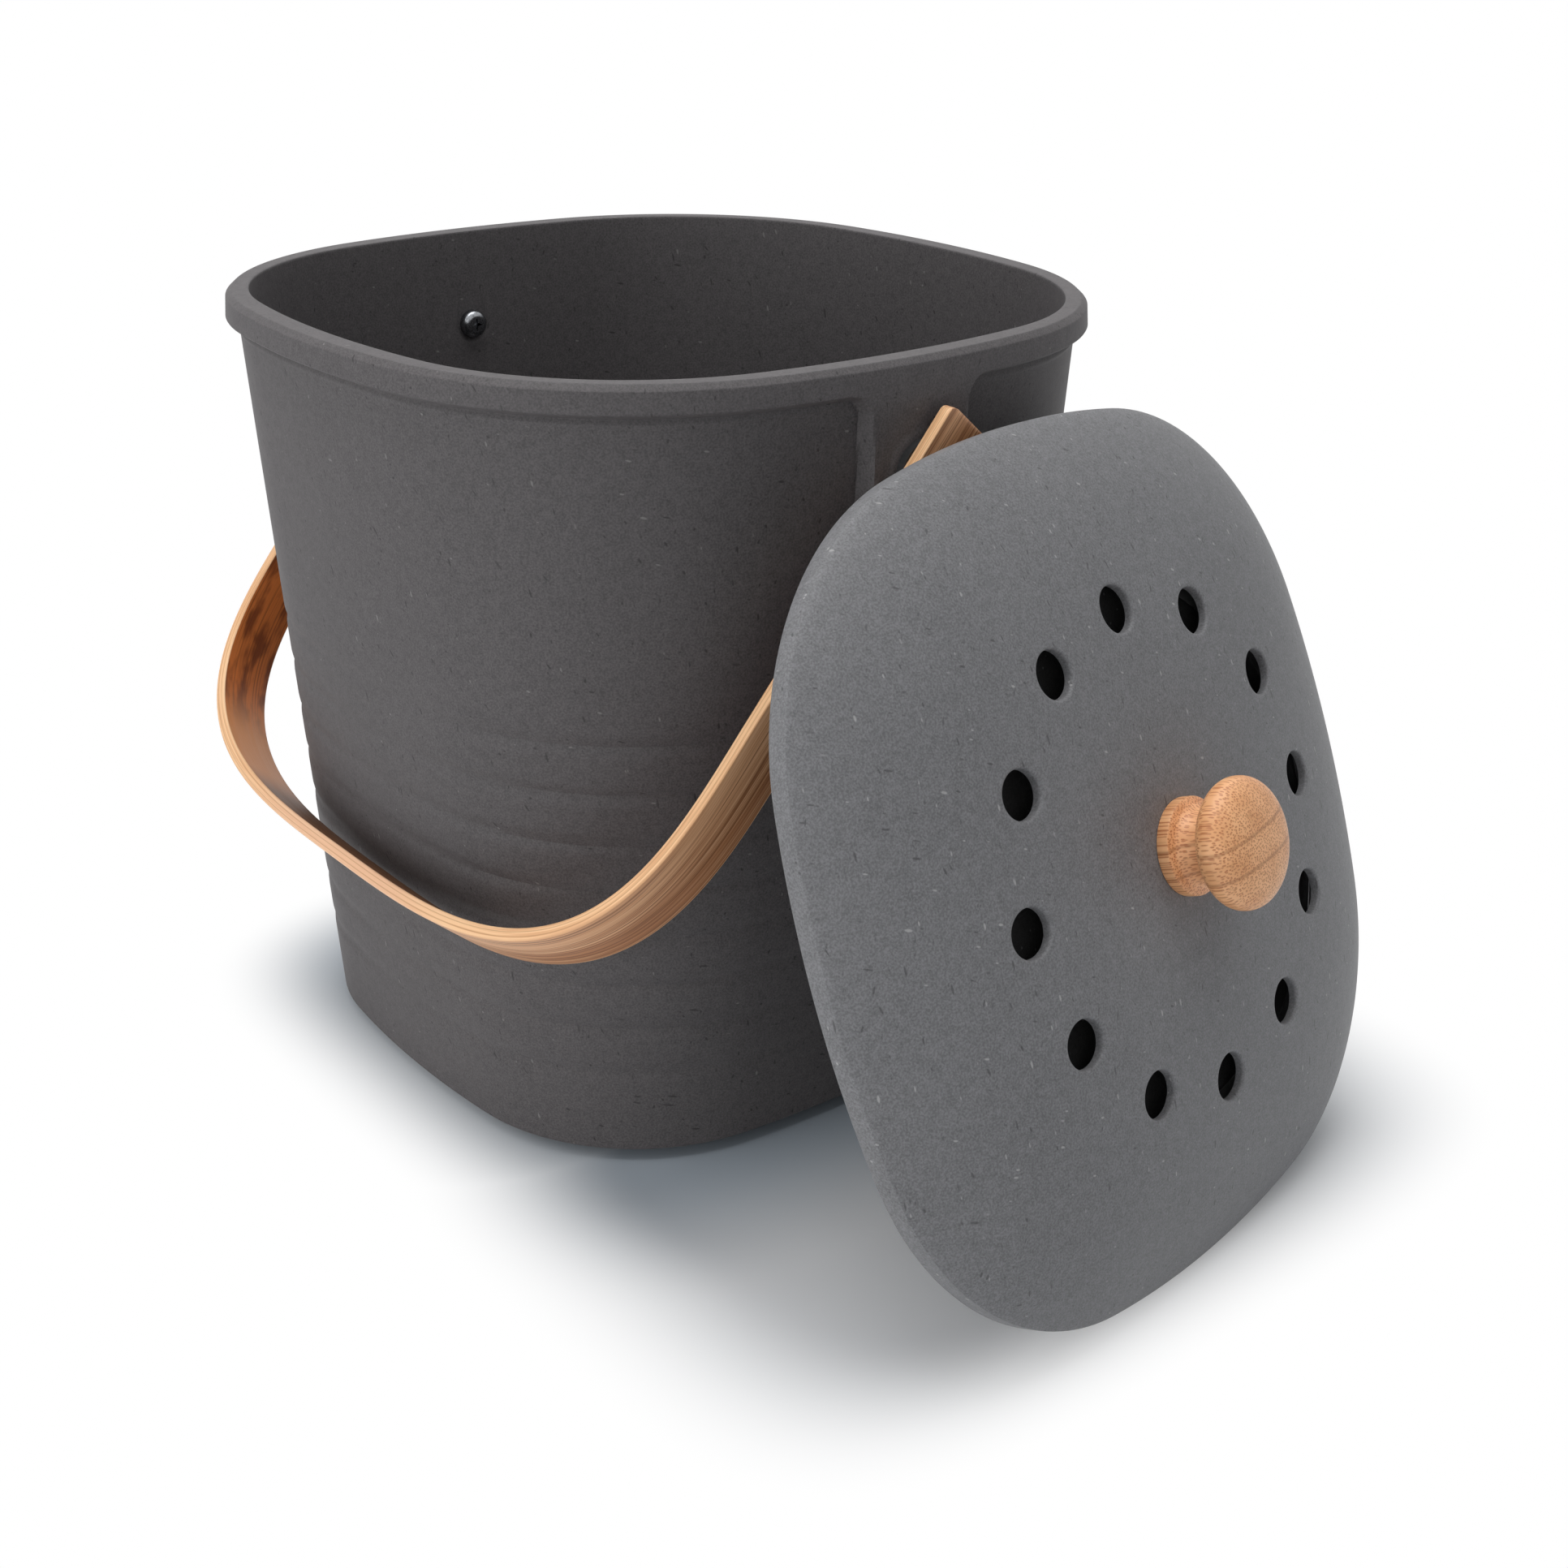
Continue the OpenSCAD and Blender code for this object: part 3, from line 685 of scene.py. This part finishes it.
# %% Extruding the cross-section along the bow
HANG = math.radians(41)
EASE = 0.5
section = []
for corner_x, corner_y, first in ((1, 1, 0), (-1, 1, 90), (-1, -1, 180), (1, -1, 270)):
    for k in range(4):
        a = math.radians(first + 30 * k)
        section.append((corner_x * (STRIP_WIDTH / 2 - EASE) + EASE * math.cos(a),
                        corner_y * (STRIP_THICKNESS / 2 - EASE) + EASE * math.sin(a)))


def strip_ring(station):
    """Points (mm) of the cross-section at one station. The strip's ends are rounded in its plane."""
    sideways, down, at = middle_line[station]
    before, after = middle_line[max(station - 1, 0)], middle_line[min(station + 1, len(middle_line) - 1)]
    heading = Vector((after[0] - before[0], after[1] - before[1])).normalized()
    outward_x, outward_y = -heading.y, heading.x
    from_end = min(at, strip_length - at)
    tip = max(0.0, 1.8 - from_end)
    narrow = 1.8 - math.sqrt(max(0.0, 1.8 ** 2 - tip ** 2))
    points = []
    for wide, thick in section:
        wide *= (STRIP_WIDTH / 2 - narrow) / (STRIP_WIDTH / 2)
        x = sideways + outward_x * thick
        along_arm = down + outward_y * thick
        y = along_arm * math.sin(HANG) - wide * math.cos(HANG)
        z = along_arm * math.cos(HANG) + wide * math.sin(HANG)
        points.append((x, y, PIVOT_Z + z))
    return points


middle_line[1:1] = [(STRIP_MID, STRIP_END - e, e) for e in (0.3, 0.8)]
middle_line[-1:-1] = [(-STRIP_MID, STRIP_END - e, strip_length - e) for e in (0.8, 0.3)]
handle = start_ring("handle", strip_ring(0))
for station in range(1, len(middle_line)):
    next_ring(handle, strip_ring(station))
close_openings()
leave_edit(handle, 50.0)

# %% Drilling the strip for its pivots
def cut_with(piece, tool):
    """Takes one piece away from another with a boolean that is applied, and removes the tool."""
    bpy.ops.object.select_all(action="DESELECT")
    piece.select_set(True)
    bpy.context.view_layer.objects.active = piece
    cut = piece.modifiers.new("cut", "BOOLEAN")
    cut.operation = "DIFFERENCE"
    cut.solver = "EXACT"
    cut.object = tool
    bpy.ops.object.modifier_apply(modifier=cut.name)
    bpy.data.objects.remove(tool)


bpy.ops.object.select_all(action="DESELECT")
PIVOT_HOLE = 3.07
bpy.ops.mesh.primitive_cylinder_add(vertices=48, radius=PIVOT_HOLE * MM, depth=240 * MM,
                                    location=(0, 0, PIVOT_Z * MM), rotation=(0, math.radians(90), 0))
cut_with(handle, bpy.context.object)
print("handle drilled:", len(handle.data.polygons), "faces")

# %% How far along, across and through the strip each point is
grain = handle.data.attributes.new("grain", "FLOAT_VECTOR", "POINT")
for vertex, value in zip(handle.data.vertices, grain.data):
    x, y, z = vertex.co / MM
    down = y * math.sin(HANG) + (z - PIVOT_Z) * math.cos(HANG)
    across = (z - PIVOT_Z) * math.sin(HANG) - y * math.cos(HANG)
    nearest = min(range(1, len(middle_line) - 1), key=lambda i: math.dist((x, down), middle_line[i][:2]))
    before, here, after = middle_line[nearest - 1:nearest + 2]
    heading = Vector((after[0] - before[0], after[1] - before[1])).normalized()
    off = Vector((x - here[0], down - here[1]))
    along = here[2] + off.dot(heading) - strip_length / 2
    value.vector = Vector((along, across, off.x * -heading.y + off.y * heading.x)) * MM
print("grain set on", len(grain.data), "points")

# %% [markdown]
# ## Bamboo strip
# Three thin plies lie flat in the strip, so its narrow edges are pale and show the glue lines, and its wide
# faces show fine straight grain. The outside is tan and gets browner towards its back edge; the inside is
# stained dark where the strip was bent. Noise that is stretched along the strip gives the grain, and the
# attribute tells faces and edges apart.

# %% The strip's finish
def bamboo_strip():
    finish = Finish("handle_bamboo", 0.45, Coat_Weight=0.05, Coat_Roughness=0.35)
    grain = finish.add("Attribute", attribute_name="grain").outputs["Vector"]
    parts = finish.add("SeparateXYZ", {0: grain}).outputs
    from_middle = finish.math("ABSOLUTE", parts[0])
    fine = finish.noise(finish.turned(grain, scale=(0.006, 1.0, 1.0)), 2500, 2, 0.6)
    broad = finish.noise(finish.turned(grain, scale=(0.03, 1.0, 0.4), location=(3, 1, 2)), 1000, 2, 0.5)
    stain = finish.noise(finish.turned(grain, scale=(0.3, 1.0, 0.3), location=(7, 5, 1)), 170, 3, 0.6)
    tan = finish.mix(finish.ramp(broad, 0.35, 0.65), shade(244, 194, 150), shade(232, 178, 134))
    back = finish.ramp(parts[1], 7.0 * MM, -7.0 * MM, 0.4, 1.0)
    arm = finish.ramp(from_middle, 10 * MM, 100 * MM, 0.25, 0.8)
    outer = finish.mix(finish.math("MULTIPLY", back, arm), tan, shade(156, 90, 38))
    outer = finish.mix(finish.ramp(fine, 0.48, 0.38, 0.0, 0.6), outer, shade(112, 62, 26))
    outer = finish.mix(finish.ramp(fine, 0.54, 0.64, 0.0, 0.45), outer, shade(246, 204, 160))
    dark = finish.mix(finish.ramp(stain, 0.42, 0.60), shade(214, 120, 56), shade(136, 68, 28))
    dark = finish.mix(finish.ramp(fine, 0.46, 0.36, 0.0, 0.5), dark, shade(96, 46, 18))
    dark = finish.mix(finish.ramp(from_middle, 75 * MM, 100 * MM), shade(214, 140, 80), dark)
    dark = finish.mix(finish.ramp(from_middle, 62 * MM, 40 * MM), dark, shade(120, 80, 52))
    face = finish.mix(finish.ramp(parts[2], -1.1 * MM, -1.5 * MM), outer, dark)
    from_ply = finish.math("ABSOLUTE", finish.math("SUBTRACT", finish.math("ABSOLUTE", parts[2]), 0.6 * MM))
    ply_line = finish.ramp(from_ply, 0.2 * MM, 0.04 * MM)
    streak = finish.noise(finish.turned(grain, scale=(0.02, 1.0, 1.0), location=(1, 9, 4)), 1400, 3, 0.6)
    pale = finish.mix(finish.ramp(streak, 0.38, 0.62), shade(250, 204, 156), shade(230, 176, 128))
    pale = finish.mix(finish.ramp(from_middle, 60 * MM, 20 * MM, 0.0, 0.6), pale, shade(244, 196, 162))
    pale = finish.mix(finish.math("MULTIPLY", ply_line, 0.45), pale, shade(170, 114, 66))
    edge = finish.ramp(finish.math("ABSOLUTE", parts[1]), 7.25 * MM, 7.5 * MM)
    finish.join(finish.mix(edge, face, pale), "Base Color")
    finish.join(finish.ramp(fine, 0.3, 0.7, 0.4, 0.52), "Roughness")
    finish.bump(fine, 0.06, 0.5)
    return finish.material


handle_bamboo = bamboo_strip()
finish_piece(handle, "handle", "handle_bamboo", handle_bamboo, "handle_strap")
print("handle finished")

# %% [markdown]
# ## Round parts
# Knob, screws and nuts are turned on a lathe, so they are modelled as on one: a profile of points is drawn
# from the axis outwards and spun once round. One helper does it for all of them, merges the seam and the
# poles, and turns the faces outwards.

# %% Turning a profile
def turn_profile(name, profile, segments=64, crease=40.0):
    """A solid of revolution about Z from (radius, height) points in mm, from axis to axis."""
    bpy.ops.object.select_all(action="DESELECT")
    bpy.ops.mesh.primitive_circle_add(vertices=3, radius=0.001)
    piece = bpy.context.object
    piece.name = name
    piece.data.name = name
    bpy.ops.object.mode_set(mode="EDIT")
    bpy.ops.mesh.select_all(action="SELECT")
    bpy.ops.mesh.delete(type="EDGE_FACE")
    shell = bmesh.from_edit_mesh(piece.data)
    shell.verts.ensure_lookup_table()
    for vertex in list(shell.verts)[1:]:
        shell.verts.remove(vertex)
    shell.verts.ensure_lookup_table()
    shell.verts[0].co = Vector((profile[0][0], 0, profile[0][1])) * MM
    shell.verts[0].select = True
    bmesh.update_edit_mesh(piece.data)
    last = profile[0]
    for radius, height in profile[1:]:
        move = Vector((radius - last[0], 0, height - last[1])) * MM
        bpy.ops.mesh.extrude_vertices_move(TRANSFORM_OT_translate={"value": move})
        last = (radius, height)
    bpy.ops.mesh.select_all(action="SELECT")
    bpy.ops.mesh.spin(steps=segments, angle=2 * math.pi, center=(0, 0, 0), axis=(0, 0, 1))
    bpy.ops.mesh.select_all(action="SELECT")
    bpy.ops.mesh.remove_doubles(threshold=1e-6)
    leave_edit(piece, crease)
    return piece


# %% [markdown]
# ## The knob
# The knob is turned from a block of bamboo whose fibres run along its axis: a foot, a cove up to the neck
# and a flattened cap. Its side therefore shows short dashes along the axis and its face the dotted ends of
# the fibres, with the glue lines of the block running across.

# %% The knob's profile
CAP_RADIUS = 15.0
CAP_SHAPE = 2 / 2.3


def cap_points():
    points = []
    for degrees in range(-58, 90, 4):
        a = math.radians(degrees)
        rise = 6.2 if degrees < 0 else 6.6
        height = 15 + rise * math.copysign(abs(math.sin(a)) ** CAP_SHAPE, a)
        points.append((CAP_RADIUS * math.cos(a) ** CAP_SHAPE, height))
    return points


def cove_points():
    points = []
    for degrees in range(0, 91, 9):
        a = math.radians(degrees)
        points.append((7.8 + 2.5 * (1 - math.sin(a)), 8.4 - 5.0 * math.cos(a)))
    return points


knob_profile = [(0, 12), (2.0, 12), (2.0, 0), (10.9, 0), (11.2, 0.12), (11.3, 0.4), (11.3, 2.7), (11.2, 2.95)]
knob_profile += [(10.9, 3.1)] + cove_points() + cap_points() + [(0, 21.6)]
knob = turn_profile("knob", knob_profile, 72, 32)
for vertex in knob.data.vertices:
    vertex.co.z += LID_HEIGHT * MM
put_on_lid(knob)


# %% The knob's finish
def turned_bamboo():
    finish = Finish("knob_bamboo", 0.45, Coat_Weight=0.05, Coat_Roughness=0.35)
    back = LID_PLACE.inverted()
    local = finish.turned(finish.place(), location=back.to_translation(), rotation=back.to_euler())
    block = finish.turned(local, rotation=(0, 0, -0.12))
    cells = finish.add("TexVoronoi", {"Vector": block, "Scale": 1700}, voronoi_dimensions="2D").outputs
    shade_of_cell = finish.add("SeparateColor", {0: cells["Color"]}).outputs[0]
    veins = finish.noise(finish.turned(block, scale=(1, 1, 0.05)), 700, 2, 0.5)
    broad = finish.noise(finish.turned(block, scale=(1, 1, 0.2)), 150, 2, 0.5)
    base = finish.mix(finish.ramp(broad, 0.3, 0.7), shade(250, 192, 140), shade(232, 170, 118))
    dot = finish.ramp(cells["Distance"], 0.42, 0.24)
    dot = finish.math("MULTIPLY", dot, finish.ramp(shade_of_cell, 0.0, 1.0, 0.6, 1.0))
    spotted = finish.mix(finish.math("MULTIPLY", dot, 0.75), base, shade(170, 90, 42))
    spotted = finish.mix(finish.ramp(veins, 0.42, 0.30, 0.0, 0.35), spotted, shade(176, 112, 66))
    parts = finish.add("SeparateXYZ", {0: block}).outputs
    wander = finish.math("MULTIPLY", finish.math("SUBTRACT", veins, 0.5), 0.6 * MM)
    across = finish.math("ADD", parts[0], wander)
    from_glue = finish.math("ABSOLUTE", finish.math("SUBTRACT", finish.math("ABSOLUTE", across), 3.4 * MM))
    glue = finish.ramp(from_glue, 0.7 * MM, 0.1 * MM, 0.0, 0.45)
    finish.join(finish.mix(glue, spotted, shade(146, 84, 42)), "Base Color")
    finish.bump(finish.math("SUBTRACT", veins, dot), 0.06, 0.4)
    return finish.material


knob_bamboo = turned_bamboo()
finish_piece(knob, "lid", "knob_bamboo", knob_bamboo, "lid_knob")
print("knob finished")

# %% [markdown]
# ## Screws and sleeve nuts
# Each pivot is a pan-head screw inside the bin and a sleeve nut with a low dome outside. The heads are
# small but they catch the light, so they are turned from a profile and the cross recess is cut with two
# crossed wedges.

# %% Steel
def polished_steel():
    finish = Finish("screw_steel", 0.24, Metallic=1.0)
    place = finish.place()
    wear = finish.noise(place, 900, 3, 0.6)
    colour = finish.mix(finish.ramp(wear, 0.35, 0.7), shade(150, 152, 156), shade(108, 110, 114))
    finish.join(colour, "Base Color")
    finish.join(finish.ramp(wear, 0.3, 0.7, 0.18, 0.32), "Roughness")
    finish.bump(wear, 0.01, 0.3)
    return finish.material


screw_steel = polished_steel()

# %% A pan head screw, head down on Z
HEAD = 3.0


def cut_cross(piece, size, depth):
    for quarter in (0, 90):
        bpy.ops.object.select_all(action="DESELECT")
        bpy.ops.mesh.primitive_cylinder_add(vertices=4, radius=size / 2 * MM, depth=2 * depth * MM,
                                            location=(0, 0, -HEAD * MM))
        wedge = bpy.context.object
        for vertex in wedge.data.vertices:
            vertex.co.y *= 0.26 if vertex.co.z < 0 else 0.15
            vertex.co.x *= 1.0 if vertex.co.z < 0 else 0.62
        wedge.rotation_euler = (0, 0, math.radians(quarter))
        bpy.context.view_layer.update()
        cut_with(piece, wedge)


def pan_screw(name, head_radius, length):
    round_over = [(head_radius - HEAD * 0.62 * (1 - math.cos(math.radians(a))),
                   -HEAD * 0.38 - HEAD * 0.62 * math.sin(math.radians(a))) for a in range(0, 91, 9)]
    profile = [(0, length), (1.5, length), (2.0, length - 0.6), (2.0, 0)]
    profile += [(head_radius - 0.1, 0), (head_radius, -0.1)] + round_over
    profile += [(head_radius * 0.3, -HEAD - 0.02), (0, -HEAD - 0.03)]
    screw = turn_profile(name, profile, 48, 30)
    cut_cross(screw, head_radius * 1.25, 1.5)
    return screw


def put_on_pivot(piece, side, along):
    """Turns a piece from +Z to the pivot axis on one side (1 is +X), so many mm from the bin's middle."""
    bpy.ops.object.select_all(action="DESELECT")
    piece.select_set(True)
    bpy.context.view_layer.objects.active = piece
    piece.matrix_world = (Matrix.Translation(Vector((side * along, 0, PIVOT_Z)) * MM)
                          @ Matrix.Rotation(math.radians(90 * side), 4, "Y"))
    bpy.ops.object.transform_apply(location=True, rotation=True, scale=True)


SCREW_HEAD_RADIUS = 4.0
SCREW_LENGTH = 15.9
SCREW_X = 93.11
for side, word in ((1, "right"), (-1, "left")):
    screw = pan_screw("screw_" + word, SCREW_HEAD_RADIUS, SCREW_LENGTH)
    put_on_pivot(screw, side, SCREW_X)
    finish_piece(screw, "bin", "screw_steel", screw_steel, "pivot_screw_" + word)

# %% A sleeve nut with a low dome
NUT_X = 108.05
SLEEVE_START = 94.3


def dome_cap():
    arc = [math.radians(a) for a in range(0, 61, 10)]
    return [(5.0 + math.cos(a), 0.7 + math.sin(a)) for a in arc]


for side, word in ((1, "right"), (-1, "left")):
    barrel = SLEEVE_START - NUT_X
    profile = [(0, -2), (2.05, -2), (2.05, barrel), (2.8, barrel), (3.0, barrel + 0.2), (3.0, 0), (5.85, 0)]
    profile += [(6.0, 0.15)] + dome_cap() + [(4.4, 1.86), (3.3, 2.06), (1.8, 2.17), (0, 2.2)]
    nut = turn_profile("nut_" + word, profile, 64, 35)
    put_on_pivot(nut, side, NUT_X)
    finish_piece(nut, "bin", "screw_steel", screw_steel, "sleeve_nut_" + word)

# %% The knob's own screw, under the lid
KNOB_SCREW_SEAT = 19.7
knob_screw = pan_screw("knob_screw_head_down", 3.7, 17.8)
for vertex in knob_screw.data.vertices:
    vertex.co.z += KNOB_SCREW_SEAT * MM
put_on_lid(knob_screw)
finish_piece(knob_screw, "lid", "screw_steel", screw_steel, "knob_screw")

# %% [markdown]
# ## Black mouldings and the filter
# The washers, the wheel-shaped filter housing and its retainer are plain black mouldings whose solids
# already have the right shape, so they only get a finish. The charcoal filter is a soft felt pad: it is
# turned from a rounded profile and given an uneven surface.

# %% Moulded black plastic
def moulded_plastic():
    finish = Finish("moulded_black", 0.5)
    place = finish.place()
    fine = finish.noise(place, 2600, 2, 0.5)
    finish.join(finish.mix(finish.ramp(fine, 0.3, 0.7), shade(36, 36, 37), shade(46, 46, 47)), "Base Color")
    finish.join(finish.ramp(fine, 0.3, 0.7, 0.44, 0.58), "Roughness")
    finish.bump(fine, 0.02, 0.4)
    return finish.material


moulded_black = moulded_plastic()
for name in ("spacer_washer_left", "spacer_washer_right", "filter_housing", "filter_retainer"):
    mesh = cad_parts[name].data
    mesh.materials.clear()
    mesh.materials.append(moulded_black)
steel_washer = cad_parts["knob_washer"].data
steel_washer.materials.clear()
steel_washer.materials.append(screw_steel)
print("black mouldings finished")

# %% Charcoal felt
def charcoal_felt():
    finish = Finish("carbon_felt", 0.9)
    place = finish.place()
    tuft = finish.noise(place, 1300, 4, 0.7)
    distance, colour = finish.cells(place, 700)
    glint = finish.add("SeparateColor", {0: colour}).outputs[0]
    spark = finish.math("MULTIPLY", finish.ramp(distance, 0.3, 0.1), finish.ramp(glint, 0.8, 0.95))
    base = finish.mix(finish.ramp(tuft, 0.3, 0.7), shade(14, 14, 14), shade(30, 30, 30))
    finish.join(finish.mix(spark, base, shade(84, 84, 86)), "Base Color")
    finish.bump(tuft, 0.4, 0.8)
    return finish.material


carbon_felt = charcoal_felt()
FILTER_TOP = 15.4
felt_profile = [(0, -6), (20, -6), (40, -6), (56, -6), (61, -5.8), (62.4, -5.2), (63, -4.2), (63, -1.8)]
felt_profile += [(62.4, -0.8), (61, -0.2), (56, 0), (40, 0), (20, 0), (0, 0)]
felt = turn_profile("charcoal_filter_pad", felt_profile, 96, 60)
for vertex in felt.data.vertices:
    vertex.co.z += FILTER_TOP * MM
put_on_lid(felt)
finish_piece(felt, "lid", "carbon_felt", carbon_felt, "charcoal_filter")

# %% [markdown]
# ## Floor and light
# The caddy stands on a plain white floor. A wide soft box above gives most of the light, and smaller ones
# at the front, low down and to the right fill the shaded sides. The floor keeps the object's soft shadow
# close by. Round the bin's foot a darker colour is also painted on it for the camera, as a painted contact
# shadow. Further out its material turns into plain white for the camera, so there is no horizon.

# %% The floor
bpy.ops.object.select_all(action="DESELECT")
bpy.ops.mesh.primitive_grid_add(x_subdivisions=8, y_subdivisions=8, size=14.0, location=(0, 0, 0))
floor = bpy.context.object
floor.name = "floor"
floor_finish = Finish("white_floor", 0.9)
FLOOR_WHITE = (0.86, 0.88, 0.9, 1)
# The colour of the painted contact shadow on the floor round the bin's foot.
FLOOR_PAINTED_SHADOW = (0.44, 0.50, 0.56, 1)
floor_finish.shader.inputs["Specular IOR Level"].default_value = 0.1
ground = floor_finish.place()


def beyond(middle_x, middle_y, half_x, half_y, size):
    """How far (m) a point of the floor lies outside a rounded rectangle, negative inside."""
    sockets = {0: ground, 1: (middle_x, middle_y, 0), 3: (half_x, half_y, 1)}
    parts = floor_finish.add("Mapping", sockets, vector_type="TEXTURE").outputs[0]
    parts = floor_finish.add("SeparateXYZ", {0: parts}).outputs
    power = [floor_finish.math("POWER", floor_finish.math("ABSOLUTE", part), 4.0) for part in parts[:2]]
    length = floor_finish.math("POWER", floor_finish.math("ADD", *power), 0.25)
    return floor_finish.math("MULTIPLY", floor_finish.math("SUBTRACT", length, 1.0), size)


from_bin = beyond(0, 0, 0.0846, 0.0846, 0.0846)
from_lid = beyond(0.112, 0.017, 0.073, 0.100, 0.080)
away = floor_finish.math("MINIMUM", from_bin, from_lid)
rays = floor_finish.add("LightPath").outputs
seen = floor_finish.math("MAXIMUM", rays["Is Camera Ray"], rays["Is Glossy Ray"])
seen = floor_finish.math("MAXIMUM", seen, rays["Is Transmission Ray"])
white_share = floor_finish.math("MULTIPLY", floor_finish.ramp(away, -0.012, 0.030), seen)
# Painted contact shadow: for camera rays only, the floor's colour darkens towards the bin's foot over the
# last 5 cm.
painted_shadow_share = floor_finish.ramp(from_bin, 0.05, 0.0, 0.0, rays["Is Camera Ray"])
floor_finish.join(floor_finish.mix(painted_shadow_share, FLOOR_WHITE, FLOOR_PAINTED_SHADOW), "Base Color")
plain_white = floor_finish.add("Emission", {"Color": (1, 1, 1, 1), "Strength": 1.0})
blend_node = floor_finish.add("MixShader", {0: white_share, 1: floor_finish.shader.outputs[0],
                                            2: plain_white.outputs[0]})
output = floor_finish.tree.nodes["Material Output"]
floor_finish.tree.links.new(blend_node.outputs[0], output.inputs["Surface"])
floor.data.materials.append(floor_finish.material)
print("floor laid")

# %% The world and the lamps
world = bpy.data.worlds.new("studio")
scene.world = world
world.use_nodes = True
sky = world.node_tree.nodes["Background"]
sky.inputs["Color"].default_value = (0.95, 0.97, 1.0, 1)
sky.inputs["Strength"].default_value = 0.18
white_sky = world.node_tree.nodes.new("ShaderNodeBackground")
white_sky.inputs["Color"].default_value = (1, 1, 1, 1)
path = world.node_tree.nodes.new("ShaderNodeLightPath")
most = world.node_tree.nodes.new("ShaderNodeMath")
most.operation = "MAXIMUM"
switch = world.node_tree.nodes.new("ShaderNodeMixShader")
links = world.node_tree.links
links.new(path.outputs["Is Camera Ray"], most.inputs[0])
links.new(path.outputs["Is Glossy Ray"], most.inputs[1])
most_of_all = world.node_tree.nodes.new("ShaderNodeMath")
most_of_all.operation = "MAXIMUM"
links.new(most.outputs[0], most_of_all.inputs[0])
links.new(path.outputs["Is Transmission Ray"], most_of_all.inputs[1])
links.new(most_of_all.outputs[0], switch.inputs[0])
links.new(sky.outputs[0], switch.inputs[1])
links.new(white_sky.outputs[0], switch.inputs[2])
links.new(switch.outputs[0], world.node_tree.nodes["World Output"].inputs["Surface"])


def soft_box(name, place, size, watts):
    """An area lamp at a place (m) that looks at the middle of the caddy."""
    bpy.ops.object.select_all(action="DESELECT")
    bpy.ops.object.light_add(type="AREA", location=place)
    lamp = bpy.context.object
    lamp.name = name
    lamp.data.size = size
    lamp.data.energy = watts
    lamp.rotation_euler = (Vector((0.05, 0, 0.1)) - Vector(place)).to_track_quat("-Z", "Y").to_euler()
    return lamp


soft_box("top_box", (-0.15, 0.0, 1.3), 1.1, 12.5)
soft_box("key_box", (0.7, 0.05, 1.1), 0.6, 1.0)
soft_box("front_box", (-0.2, -0.85, 0.9), 0.7, 1.6)
soft_box("fill_box", (0.85, -0.7, 0.45), 0.6, 1.2)
soft_box("low_box", (0.0, -0.75, 0.12), 0.45, 1.6)
print("lights placed")
